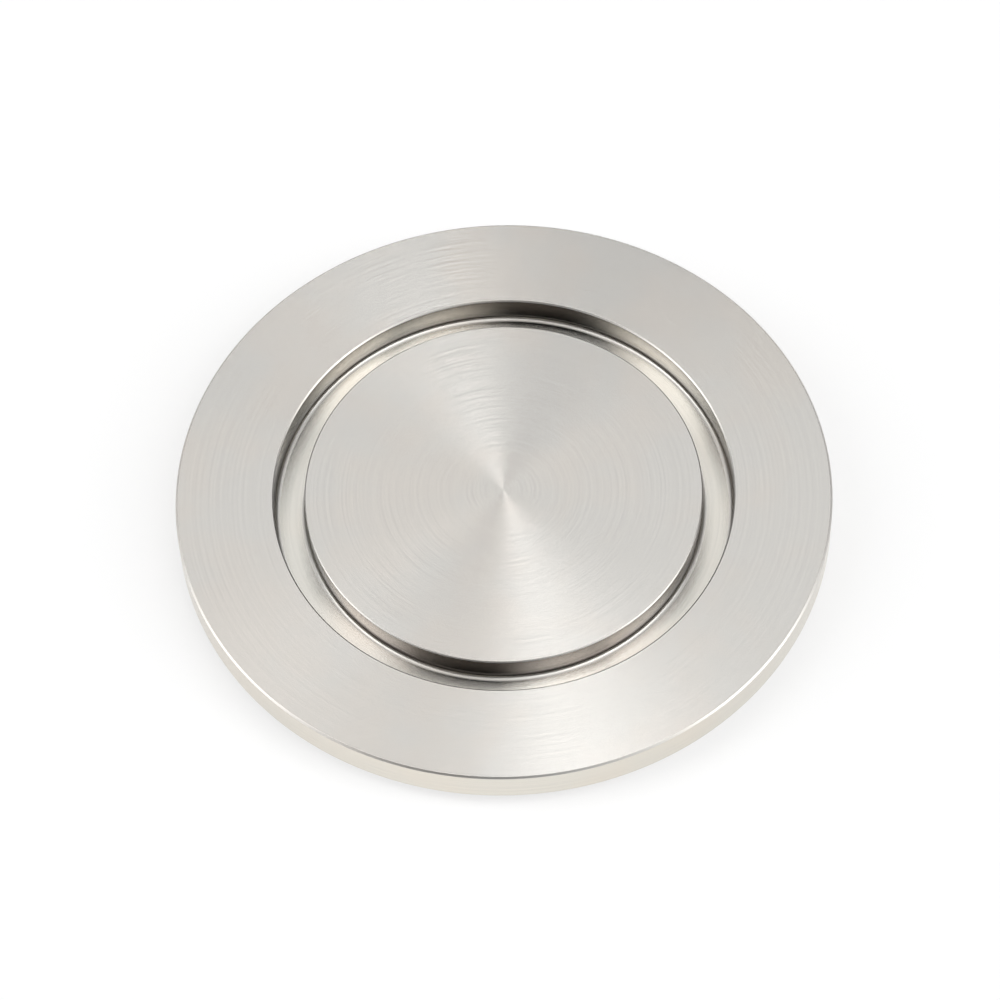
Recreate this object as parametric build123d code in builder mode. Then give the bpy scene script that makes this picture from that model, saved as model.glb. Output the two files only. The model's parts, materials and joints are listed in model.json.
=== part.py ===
"""Blind flange of a clamped vacuum pipe joint, nominal bore 50 mm.

It closes the end of a pipe and is turned from one disc of stainless steel. The front carries a flat
sealing face and a groove for the centring ring, with a plain boss left inside it. The back is coned,
so that the two halves of a clamp draw the rim forward as they close.

The axis of the turning is Z. The origin is the centre of the back face, which the flange rests on,
and the sealing face looks up. Sizes are in millimetres and angles in degrees.
"""
from build123d import *
import os
from math import radians, tan

# Outside of the disc
rim_diameter = 75.0
rim_height = 4.1
cone_height = 1.9
cone_angle = 15.0
rim_edge_chamfer = 0.2

# Groove for the centring ring, and the boss that it leaves in the middle
groove_diameter = 52.6
groove_width = 3.55
groove_depth = 3.5
groove_corner_radius = 0.45
groove_mouth_chamfer = 0.15
boss_setback = 0.1
boss_edge_chamfer = 0.12

# Levels and radii that follow from the sizes above
rim_radius = rim_diameter / 2
back_face_radius = rim_radius - cone_height / tan(radians(cone_angle))
groove_radius = groove_diameter / 2
boss_radius = groove_radius - groove_width
sealing_level = cone_height + rim_height
groove_floor_level = sealing_level - groove_depth
boss_level = sealing_level - boss_setback


with BuildPart() as blind_flange:
    # The half section is drawn from the centre of the back face, out round the rim and back over the front
    with BuildSketch(Plane.XZ):
        with BuildLine():
            Polyline(
                (0, 0),
                (back_face_radius, 0),
                (rim_radius, cone_height),
                (rim_radius, sealing_level),
                (groove_radius, sealing_level),
                (groove_radius, groove_floor_level),
                (boss_radius, groove_floor_level),
                (boss_radius, boss_level),
                (0, boss_level),
                close=True,
            )
        make_face()
    revolve(axis=Axis.Z)

    # The grooving tool leaves a radius in both corners of the groove's floor
    flats = blind_flange.faces().filter_by(GeomType.PLANE).sort_by(Axis.Z)
    groove_floor = flats[1]
    fillet(groove_floor.edges(), radius=groove_corner_radius)

    # Sharp edges are broken: the groove's mouth, the boss, and the rim in front and behind
    flats = blind_flange.faces().filter_by(GeomType.PLANE).sort_by(Axis.Z)
    sealing_face = flats[-1]
    groove_mouth = sealing_face.edges().sort_by(SortBy.RADIUS)[0]
    chamfer(groove_mouth, length=groove_mouth_chamfer)

    flats = blind_flange.faces().filter_by(GeomType.PLANE).sort_by(Axis.Z)
    boss_face = flats[-2]
    chamfer(boss_face.edges(), length=boss_edge_chamfer)

    rim_edges = blind_flange.edges().filter_by(GeomType.CIRCLE).group_by(SortBy.RADIUS)[-1]
    chamfer(rim_edges, length=rim_edge_chamfer)

blind_flange.part.label = "blind_flange"

os.makedirs("parts", exist_ok=True)
export_step(blind_flange.part, "parts/blind_flange.step")
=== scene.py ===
"""A turned steel blind flange on a white studio floor, seen from the front and above.

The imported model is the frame. The flange is turned again here as a fine mesh with the same section, so that
its edges, walls and corners reflect the studio as smooth round metal. Lengths are in metres.
"""

import json
import math

import bpy
from mathutils import Matrix, Vector


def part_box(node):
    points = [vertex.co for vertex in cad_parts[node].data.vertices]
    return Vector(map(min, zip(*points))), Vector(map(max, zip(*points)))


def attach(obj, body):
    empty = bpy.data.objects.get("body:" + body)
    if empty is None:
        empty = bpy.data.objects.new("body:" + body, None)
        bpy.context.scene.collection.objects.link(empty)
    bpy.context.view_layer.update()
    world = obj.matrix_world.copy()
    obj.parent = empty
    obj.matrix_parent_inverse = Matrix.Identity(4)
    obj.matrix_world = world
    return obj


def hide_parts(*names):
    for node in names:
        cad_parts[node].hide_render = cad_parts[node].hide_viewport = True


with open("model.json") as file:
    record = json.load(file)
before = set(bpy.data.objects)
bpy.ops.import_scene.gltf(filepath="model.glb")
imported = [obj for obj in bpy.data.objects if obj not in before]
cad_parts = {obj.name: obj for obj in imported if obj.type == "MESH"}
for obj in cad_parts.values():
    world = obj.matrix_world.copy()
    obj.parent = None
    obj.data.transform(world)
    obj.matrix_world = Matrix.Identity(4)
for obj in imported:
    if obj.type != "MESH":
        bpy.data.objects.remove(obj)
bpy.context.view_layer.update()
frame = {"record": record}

MM = 0.001
NODE = "blind_flange"

# Section of the flange, as in the part's source. The rim, the height, the boss and the groove's floor come
# from the frame. It differs only in its edges, which are finely rounded here, and in the corners at the foot
# of the groove's walls, which are small ellipses.
mounts = {mount["name"]: mount for mount in frame["record"]["mounts"]}
rim_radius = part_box(NODE)[1].x
sealing_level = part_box(NODE)[1].z
cone_height = 1.9 * MM
cone_angle = math.radians(15)
back_face_radius = rim_radius - cone_height / math.tan(cone_angle)
boss_radius = mounts["centre_boss"]["dims"]["r_mm"] * MM
boss_setback = 0.1 * MM
boss_level = sealing_level - boss_setback
groove_width = 3.55 * MM
groove_radius = boss_radius + groove_width
groove_floor_level = mounts["ring_groove"]["pos_m"][2]
foot_on_floor = 0.5 * MM
foot_on_wall = 0.3 * MM
rim_chamfer = 0.2 * MM
groove_chamfer = 0.15 * MM
boss_chamfer = 0.12 * MM
edge_rounding = 0.04 * MM
rim_rounding = 0.08 * MM
cone_rounding = 0.4 * MM

# Fineness of the mesh
TURNS = 640
ARC_STEPS = 4
FOOT_STEPS = 16


# Turned body

# The strips of the surface that have a finish of their own
ZONES = ("face", "boss_wall", "wall", "corner", "floor", "edge", "rim", "cone", "back")


def section_corners():
    """Corners of the half section, from the centre of the front out over the rim to the centre of the back.

    Each gives its radius, its height, its rounding, the zone of the rounding, and the zone that follows it.
    At the foot of a wall the rounding says only which wall it is: 1 for the boss, and -1 for the outer wall.
    """
    fine = (edge_rounding, "edge")
    outer = (rim_rounding, "edge")
    cone_drop = rim_chamfer * math.tan(cone_angle)
    return [
        (0, boss_level, 0, "face", "face"),
        (boss_radius - boss_chamfer, boss_level, *fine, "edge"),
        (boss_radius, boss_level - boss_chamfer, *fine, "boss_wall"),
        (boss_radius, groove_floor_level, 1, "corner", "floor"),
        (groove_radius, groove_floor_level, -1, "corner", "wall"),
        (groove_radius, sealing_level - groove_chamfer, *fine, "edge"),
        (groove_radius + groove_chamfer, sealing_level, *fine, "face"),
        (rim_radius - rim_chamfer, sealing_level, *outer, "edge"),
        (rim_radius, sealing_level - rim_chamfer, *outer, "rim"),
        (rim_radius, cone_height + rim_chamfer, *outer, "edge"),
        (rim_radius - rim_chamfer, cone_height - cone_drop, *outer, "cone"),
        (back_face_radius, 0, cone_rounding, "cone", "back"),
        (0, 0, 0, "back", "back"),
    ]


def foot_curve(wall_radius, inward, zone):
    """The elliptic corner at the foot of a wall, and the zone that follows it.

    inward is 1 for the boss's wall, and -1 for the outer wall.
    """
    centre = Vector((wall_radius + inward * foot_on_floor, groove_floor_level + foot_on_wall))
    points = []
    for k in range(FOOT_STEPS + 1):
        part = k / FOOT_STEPS if inward > 0 else 1 - k / FOOT_STEPS
        turn = math.pi / 2 * part
        spoke = Vector((-inward * foot_on_floor * math.cos(turn), -foot_on_wall * math.sin(turn)))
        normal = Vector((inward * math.cos(turn) / foot_on_floor, math.sin(turn) / foot_on_wall))
        points.append((centre + spoke, normal.normalized(), zone if k == FOOT_STEPS else "corner"))
    return points


def rounded_corner(before, here, after, rounding, arc_zone, zone):
    """The arc that rounds a corner between the corners before and after it."""
    arriving = (here - before).normalized()
    leaving = (after - here).normalized()
    turn = arriving.angle_signed(leaving)
    start = here - arriving * (rounding * math.tan(abs(turn) / 2))
    side = 1 if turn < 0 else -1
    centre = start + side * rounding * Vector((-arriving.y, arriving.x))
    points = []
    for k in range(ARC_STEPS + 1):
        spoke = Matrix.Rotation(-turn * k / ARC_STEPS, 2) @ (start - centre)
        points.append((centre + spoke, -side * spoke.normalized(), zone if k == ARC_STEPS else arc_zone))
    return points


def rounded_section():
    """The section's points: each its place, its normal or None on the axis, and the zone that follows it."""
    corners = section_corners()
    places = [Vector(corner[:2]) for corner in corners]
    points = []
    for i, (radius, _, rounding, arc_zone, zone) in enumerate(corners):
        if arc_zone == "corner":
            points += foot_curve(radius, rounding, zone)
        elif rounding:
            points += rounded_corner(places[i - 1], places[i], places[i + 1], rounding, arc_zone, zone)
        else:
            points.append((places[i], None, zone))
    return points


def turned_body(name):
    """The section turned about the Z axis: a mesh with exact normals, and a material index for each zone."""
    section = rounded_section()
    vertices, normals, faces, zones, rings = [], [], [], [], []
    for (r, z), normal, _ in section:
        if normal is None:
            rings.append([len(vertices)])
            vertices.append((0, 0, z))
            normals.append((0, 0, 1 if z > 0 else -1))
            continue
        rings.append(range(len(vertices), len(vertices) + TURNS))
        for k in range(TURNS):
            angle = 2 * math.pi * k / TURNS
            vertices.append((r * math.cos(angle), r * math.sin(angle), z))
            normals.append((normal.x * math.cos(angle), normal.x * math.sin(angle), normal.y))
    for (_, _, zone), inner, outer in zip(section, rings, rings[1:]):
        for k in range(TURNS):
            after = (k + 1) % TURNS
            if len(inner) == 1:
                faces.append((inner[0], outer[k], outer[after]))
            elif len(outer) == 1:
                faces.append((inner[k], outer[0], inner[after]))
            else:
                faces.append((inner[k], outer[k], outer[after], inner[after]))
            zones.append(ZONES.index(zone))
    mesh = bpy.data.meshes.new(name)
    mesh.from_pydata(vertices, [], faces)
    mesh.polygons.foreach_set("material_index", zones)
    mesh.polygons.foreach_set("use_smooth", [True] * len(faces))
    mesh.update()
    mesh.normals_split_custom_set_from_vertices(normals)
    body = bpy.data.objects.new(name, mesh)
    bpy.context.scene.collection.objects.link(body)
    return body


# Node trees

class Graph:
    """A short way to write a node tree."""

    def __init__(self, tree):
        self.tree = tree
        self.tree.nodes.clear()

    def put(self, socket, value):
        """Links another node's output to the socket, or sets a plain value there."""
        if isinstance(value, bpy.types.NodeSocket):
            self.tree.links.new(value, socket)
        else:
            socket.default_value = value

    def fill(self, made, values):
        """Puts the values into the node's inputs in their order, and gives its first output."""
        for socket, value in zip(made.inputs, values):
            self.put(socket, value)
        return made.outputs[0]

    def node(self, kind, settings=None, **inputs):
        """A new node, with its settings and with its inputs by name."""
        made = self.tree.nodes.new(kind)
        for key, value in (settings or {}).items():
            setattr(made, key, value)
        for key, value in inputs.items():
            self.put(made.inputs[key.replace("_", " ")], value)
        return made

    def math(self, operation, *values):
        return self.fill(self.node("ShaderNodeMath", {"operation": operation}), values)

    def vector(self, operation, *values):
        return self.fill(self.node("ShaderNodeVectorMath", {"operation": operation}), values)

    def scaled(self, vector, factor):
        made = self.node("ShaderNodeVectorMath", {"operation": "SCALE"}, Vector=vector, Scale=factor)
        return made.outputs[0]

    def ramp(self, value, low, high, to_low=0.0, to_high=1.0):
        """A smooth step from to_low, where the value is low, to to_high, where it is high."""
        made = self.node("ShaderNodeMapRange", {"interpolation_type": "SMOOTHSTEP", "clamp": True})
        return self.fill(made, (value, low, high, to_low, to_high))

    def window(self, value, low, high, low_blur, high_blur):
        """1 from low to high and 0 outside, blurred inside both."""
        rise = self.ramp(value, low, low + low_blur)
        return self.math("MULTIPLY", rise, self.ramp(value, high - high_blur, high, 1.0, 0.0))

    def noise(self, place, scale, detail):
        return self.node("ShaderNodeTexNoise", Vector=place, Scale=scale, Detail=detail).outputs[0]

    def rings(self, path, width):
        """Noise that changes only along the section, so that it runs round the axis in true rings."""
        along = self.math("DIVIDE", path, width)
        made = self.node("ShaderNodeTexNoise", {"noise_dimensions": "1D"}, W=along, Scale=1.0, Detail=1.0)
        return made.outputs[0]

    def blend(self, factor, first, second):
        """From the vector first to the vector second."""
        made = self.node("ShaderNodeMix", {"data_type": "VECTOR"}, Factor=factor)
        sockets = [socket for socket in made.inputs if socket.type == "VECTOR"]
        self.put(sockets[-2], first)
        self.put(sockets[-1], second)
        return [socket for socket in made.outputs if socket.type == "VECTOR"][0]

    def surface(self, kind, shader):
        self.node(kind, Surface=shader.outputs[0])


# Steel

STEEL = (0.663, 0.639, 0.607)
# Painted light: the groove floor's steel is brighter than the face's, so that its glints come out whiter
GROOVE_FLOOR_PAINTED_LIGHT_STEEL = (0.755, 0.728, 0.672)
CORNER_STEEL = (0.74, 0.715, 0.675)
RIM_STEEL = (0.743, 0.702, 0.631)
# Painted shade: the groove's outer wall is darker than the steel
WALL_PAINTED_SHADE_STEEL = (0.355, 0.339, 0.317)
# Painted shade and a painted warm reflection: the boss's wall is much darker than the steel and tinted warm
BOSS_WALL_PAINTED_SHADE = (0.28, 0.253, 0.239)

# Faint clouds on it, and how often they come
WARM = (1.012, 1.0, 0.985)
COOL = (0.988, 1.0, 1.004)
CLOUD_SCALE = 0.09 / MM

# Tool marks: their pitch, how often they wander and by how many pitches, the width of the arcs in which they
# are deeper or shallower, how often the patches of those arcs come, and for the fine rings that only tint the
# steel, their width and how much of the arcs' tint they have
MARK_PITCH = 0.05 * MM
WANDER_SCALE = 0.9 / MM
WANDER = 2.0
ARC_WIDTH = 0.36 * MM
PATCH_SCALE = 0.12 / MM
RING_WIDTH = 0.3 * MM
RING_SHARE = 0.4

# The range of each noise that is used, and for the patches the strengths that it gives
RING_NOISE = (0.3, 0.7)
PATCH_NOISE = (0.42, 0.62, 0.2, 1.0)
CLOUD_NOISE = (0.35, 0.65)

# The groove's walls get painted shade near their edges and near the floor, a little lighter between: two
# distances, and the share of the walls' colour that shows at either
SHADE_UNDER_EDGE = (0.15 * MM, 0.5 * MM, 0.6, 1.0)
SHADE_OVER_FLOOR = (0.3 * MM, 2.2 * MM, 0.6, 1.15)

# Each zone's colour, roughness and slope of the tool marks, and what else it doesn't share with the others
FINISHES = {
    "face": dict(colour=STEEL, roughness=0.17, slope=0.14),
    # The groove's walls carry painted shade: darker colours, and darker under their edges and towards the
    # floor
    "boss_wall": dict(colour=BOSS_WALL_PAINTED_SHADE, roughness=0.10, slope=0.01, depth=0.01, walls_with_painted_shade=True),
    "wall": dict(colour=WALL_PAINTED_SHADE_STEEL, roughness=0.10, slope=0.01, depth=0.01, walls_with_painted_shade=True),
    "corner": dict(colour=CORNER_STEEL, roughness=0.38, slope=0.0),
    "floor": dict(colour=GROOVE_FLOOR_PAINTED_LIGHT_STEEL, roughness=0.13, slope=0.20, swell=0.1),
    "edge": dict(colour=STEEL, roughness=0.42, slope=0.0),
    "rim": dict(colour=RIM_STEEL, roughness=0.22, slope=0.10),
    "cone": dict(colour=STEEL, roughness=0.22, slope=0.15),
    "back": dict(colour=STEEL, roughness=0.22, slope=0.17),
}


class Spot:
    """A point of the turning: its place, its height, its way along the section and its way round the axis."""

    def __init__(self, graph):
        self.place = graph.node("ShaderNodeTexCoord").outputs["Object"]
        x, y, self.height = graph.node("ShaderNodeSeparateXYZ", Vector=self.place).outputs
        squares = graph.math("ADD", graph.math("MULTIPLY", x, x), graph.math("MULTIPLY", y, y))
        self.path = graph.math("ADD", graph.math("SQRT", squares), self.height)
        self.around = graph.node("ShaderNodeCombineXYZ", X=graph.math("MULTIPLY", y, -1.0), Y=x).outputs[0]


def arcs_in_patches(graph, spot):
    """Arcs round the axis in loose patches, from -1 to 1."""
    arcs = graph.ramp(graph.rings(spot.path, ARC_WIDTH), *RING_NOISE, -1.0, 1.0)
    patches = graph.ramp(graph.noise(spot.place, PATCH_SCALE, 2.0), *PATCH_NOISE)
    return graph.math("MULTIPLY", arcs, patches)


def tool_marks(graph, spot, slope):
    """The surface normal, rocked across the tool marks that run round the axis."""
    wander = graph.noise(spot.place, WANDER_SCALE, 1.0)
    phase = graph.math("MULTIPLY_ADD", wander, WANDER, graph.math("DIVIDE", spot.path, MARK_PITCH))
    side = graph.math("MULTIPLY_ADD", graph.math("FRACT", phase), 2.0, -1.0)
    turned = graph.node("ShaderNodeVectorTransform", {"convert_from": "OBJECT", "convert_to": "WORLD"},
                        Vector=spot.around)
    around = graph.vector("NORMALIZE", turned.outputs[0])
    normal = graph.node("ShaderNodeNewGeometry").outputs["Normal"]
    tilt = graph.scaled(graph.vector("CROSS_PRODUCT", normal, around), graph.math("MULTIPLY", side, slope))
    return graph.vector("NORMALIZE", graph.vector("ADD", normal, tilt))


def steel_colour(graph, spot, colour, arcs, depth):
    """The colour of the steel, with the arcs, fine rings and faint warm and cool clouds."""
    ring_depth = RING_SHARE * depth
    rings = graph.ramp(graph.rings(spot.path, RING_WIDTH), *RING_NOISE, -ring_depth, ring_depth)
    tone = graph.math("MULTIPLY_ADD", arcs, depth, rings)
    warm = [part * tint for part, tint in zip(colour, WARM)]
    cool = [part * tint for part, tint in zip(colour, COOL)]
    clouds = graph.ramp(graph.noise(spot.place, CLOUD_SCALE, 2.0), *CLOUD_NOISE)
    return graph.scaled(graph.blend(clouds, warm, cool), graph.math("ADD", tone, 1.0))


def wall_shade(graph, spot):
    """Painted shade on the groove's walls: darker under their edges and towards the floor."""
    under_edge = graph.ramp(graph.math("SUBTRACT", sealing_level, spot.height), *SHADE_UNDER_EDGE)
    over_floor = graph.ramp(graph.math("SUBTRACT", spot.height, groove_floor_level), *SHADE_OVER_FLOOR)
    return graph.math("MULTIPLY", under_edge, over_floor)


def turned_steel(name, colour, roughness, slope, swell=0.36, depth=0.03, walls_with_painted_shade=False):
    """Bare stainless steel with tool marks round the axis.

    The arcs change the marks' slope by the share swell, and the colour by the share depth.
    """
    material = bpy.data.materials.new(name)
    material.use_nodes = True
    graph = Graph(material.node_tree)
    spot = Spot(graph)
    arcs = arcs_in_patches(graph, spot)
    base = steel_colour(graph, spot, colour, arcs, depth)
    # Painted shade on the groove's walls: darker under their edges and towards the floor
    if walls_with_painted_shade:
        base = graph.scaled(base, wall_shade(graph, spot))
    shader = graph.node("ShaderNodeBsdfPrincipled", Metallic=1.0, Roughness=roughness, Base_Color=base)
    if slope:
        rocking = graph.math("MULTIPLY_ADD", arcs, swell * slope, slope)
        graph.put(shader.inputs["Normal"], tool_marks(graph, spot, rocking))
    graph.surface("ShaderNodeOutputMaterial", shader)
    return material


body = turned_body("blind_flange_turned")
for zone in ZONES:
    body.data.materials.append(turned_steel("steel_" + zone, **FINISHES[zone]))
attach(body, "root")
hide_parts(NODE)


# Floor

FLOOR_REACH = 4.0

# Together they make white
FLOOR_COLOUR = 0.42
FLOOR_GLOW = 0.58


def studio_floor():
    """A white floor that shows as white to the camera and in the metal, and keeps a soft shadow."""
    mesh = bpy.data.meshes.new("studio_floor")
    corners = [(x * FLOOR_REACH, y * FLOOR_REACH, 0) for x, y in ((-1, -1), (1, -1), (1, 1), (-1, 1))]
    mesh.from_pydata(corners, [], [(0, 1, 2, 3)])
    floor = bpy.data.objects.new("studio_floor", mesh)
    bpy.context.scene.collection.objects.link(floor)
    material = bpy.data.materials.new("studio_floor")
    material.use_nodes = True
    graph = Graph(material.node_tree)
    path = graph.node("ShaderNodeLightPath")
    seen = graph.math("MAXIMUM", path.outputs["Is Camera Ray"], path.outputs["Is Glossy Ray"])
    seen = graph.math("MAXIMUM", seen, path.outputs["Is Transmission Ray"])
    plain = graph.node("ShaderNodeBsdfDiffuse", Color=(FLOOR_COLOUR, FLOOR_COLOUR, FLOOR_COLOUR, 1))
    glow = graph.math("MULTIPLY", seen, FLOOR_GLOW)
    white = graph.node("ShaderNodeEmission", Color=(1, 1, 1, 1), Strength=glow)
    both = graph.node("ShaderNodeAddShader")
    graph.fill(both, (plain.outputs[0], white.outputs[0]))
    graph.surface("ShaderNodeOutputMaterial", both)
    mesh.materials.append(material)


# Light

# Strengths: the tent, the share of it that is missing where it is dim, and what the panels add to it
TENT = 0.96
DIMMED = 0.96
TOP_PANEL = 2.35
TOP_STREAK = 0.6
LEFT_PANEL = 2.2
RIGHT_PANEL = 2.4

# Windows in the tent, each with its start, its end and the blur inside either. Bearings are in degrees to
# the right of the camera's side, and heights in degrees above the floor. The top panel and the streak beside
# it lie in a plane above the flange, across and along it, at a height of 1.
OPENING_HEIGHTS = (6, 87, 6, 4)
PANEL_HEIGHTS = (5, 72, 10, 12)
LEFT_BEARINGS = (-120, -64, 14, 8)
RIGHT_BEARINGS = (52, 98, 6, 14)
TOP_ACROSS = (0.0, 0.16, 0.012, 0.13)
TOP_ALONG = (0.08, 0.53, 0.08, 0.05)
STREAK_ACROSS = (-0.32, -0.1, 0.05, 0.05)
STREAK_ALONG = (0.3, 0.53, 0.05, 0.05)
BESIDE_BEARINGS = (98, 146, 10, 16)

# Where the tent's dim parts end above, and where the part behind begins, each with its start and its end
BESIDE_TOP = (56, 64)
BEHIND_SIDE = (115, 135)
BEHIND_TOP = (41, 51)

# The opening towards the camera: the bearings of its sides at one height, how far they lean outward for each
# degree above that, and their blur
OPENING_LEFT = -48.0
OPENING_RIGHT = 40.0
OPENING_HEIGHT = 28.0
OPENING_LEAN = 0.45
OPENING_BLUR = 3.0

# The room that shows in the opening is lit on the right and above: bearings from dark to lit, and heights
# with the light at either
ROOM_BEARINGS = (-12, 36)
ROOM_HEIGHTS = (34, 56, 0.3, 2.6)

# The least sine of a height that the top panel's plane is worked out for, so that nothing is divided by zero
LOWEST = 0.05


def panels(graph, direction, bearing, height):
    """The light that the panels on each side and above add to the tent."""
    x, y, z = direction
    above = graph.math("MAXIMUM", z, LOWEST)
    across = graph.math("DIVIDE", x, above)
    along = graph.math("DIVIDE", y, above)
    at_panels = graph.window(height, *PANEL_HEIGHTS)
    shares = (
        (TOP_PANEL, graph.window(across, *TOP_ACROSS), graph.window(along, *TOP_ALONG)),
        (TOP_STREAK, graph.window(across, *STREAK_ACROSS), graph.window(along, *STREAK_ALONG)),
        (LEFT_PANEL, graph.window(bearing, *LEFT_BEARINGS), at_panels),
        (RIGHT_PANEL, graph.window(bearing, *RIGHT_BEARINGS), at_panels),
    )
    glow = 0.0
    for strength, first, second in shares:
        glow = graph.math("MULTIPLY_ADD", graph.math("MULTIPLY", first, second), strength, glow)
    return glow


def tent_light(graph, bearing, height):
    """The tent's own light, which is dim beside the panels, and behind them below their height."""
    aside = graph.math("ABSOLUTE", bearing)
    beside = graph.window(aside, *BESIDE_BEARINGS)
    beside = graph.math("MULTIPLY", beside, graph.ramp(height, *BESIDE_TOP, 1.0, 0.0))
    behind = graph.ramp(aside, *BEHIND_SIDE)
    behind = graph.math("MULTIPLY", behind, graph.ramp(height, *BEHIND_TOP, 1.0, 0.0))
    return graph.math("MULTIPLY_ADD", graph.math("MAXIMUM", beside, behind), -DIMMED * TENT, TENT)


def camera_opening(graph, bearing, height):
    """The share of the opening towards the camera, whose sides lean outward with height."""
    lean = graph.math("MULTIPLY", graph.math("SUBTRACT", height, OPENING_HEIGHT), OPENING_LEAN)
    left = graph.math("SUBTRACT", bearing, graph.math("SUBTRACT", OPENING_LEFT, lean))
    right = graph.math("SUBTRACT", graph.math("ADD", OPENING_RIGHT, lean), bearing)
    sides = graph.math("MULTIPLY", graph.ramp(left, 0.0, OPENING_BLUR), graph.ramp(right, 0.0, OPENING_BLUR))
    return graph.math("MULTIPLY", sides, graph.window(height, *OPENING_HEIGHTS))


def studio_world():
    """A white light tent with a bright panel on each side and above, open towards the camera's dark room."""
    world = bpy.data.worlds.new("studio")
    bpy.context.scene.world = world
    world.use_nodes = True
    graph = Graph(world.node_tree)
    place = graph.node("ShaderNodeTexCoord").outputs["Generated"]
    direction = graph.node("ShaderNodeSeparateXYZ", Vector=place).outputs
    x, y, z = direction
    bearing = graph.math("DEGREES", graph.math("ARCTAN2", x, graph.math("MULTIPLY", y, -1.0)))
    height = graph.math("DEGREES", graph.math("ARCSINE", z))
    tent = graph.math("ADD", tent_light(graph, bearing, height), panels(graph, direction, bearing, height))
    room = graph.math("MULTIPLY", graph.ramp(bearing, *ROOM_BEARINGS), graph.ramp(height, *ROOM_HEIGHTS))
    opening = camera_opening(graph, bearing, height)
    light = graph.math("MULTIPLY_ADD", opening, graph.math("SUBTRACT", room, tent), tent)
    path = graph.node("ShaderNodeLightPath")
    strength = graph.math("MAXIMUM", light, path.outputs["Is Camera Ray"])
    background = graph.node("ShaderNodeBackground", Color=(1, 1, 1, 1), Strength=strength)
    graph.surface("ShaderNodeOutputWorld", background)


# Camera

# Its distance from the middle of the sealing face and its height above it, its roll, and how far it looks
# past that middle
CAMERA_DISTANCE = 476.35 * MM
CAMERA_HEIGHT = math.radians(57.359)
CAMERA_ROLL = math.radians(-2.511)
CAMERA_PAN = math.radians(-0.054)
CAMERA_TILT = math.radians(-0.1405)
CAMERA_LENS = 150.21
CAMERA_SENSOR = 36.0


def studio_camera():
    """A long lens at the photograph's place, height and roll."""
    camera = bpy.data.cameras.new("camera")
    camera.sensor_width = CAMERA_SENSOR
    camera.lens = CAMERA_LENS
    camera_object = bpy.data.objects.new("camera", camera)
    bpy.context.scene.collection.objects.link(camera_object)
    target = Vector((0, 0, sealing_level))
    place = target + CAMERA_DISTANCE * Vector((0, -math.cos(CAMERA_HEIGHT), math.sin(CAMERA_HEIGHT)))
    ahead = (target - place).normalized()
    right = Vector((1, 0, 0))
    ahead = (ahead + CAMERA_PAN * right + CAMERA_TILT * right.cross(ahead)).normalized()
    right = ahead.cross(Vector((0, 0, 1))).normalized()
    up = right.cross(ahead)
    across = math.cos(CAMERA_ROLL) * right + math.sin(CAMERA_ROLL) * up
    upward = math.cos(CAMERA_ROLL) * up - math.sin(CAMERA_ROLL) * right
    turn = Matrix((across, upward, -ahead)).transposed().to_4x4()
    camera_object.matrix_world = Matrix.Translation(place) @ turn
    bpy.context.scene.camera = camera_object


studio_floor()
studio_world()
studio_camera()
bpy.context.scene.view_settings.view_transform = "Standard"
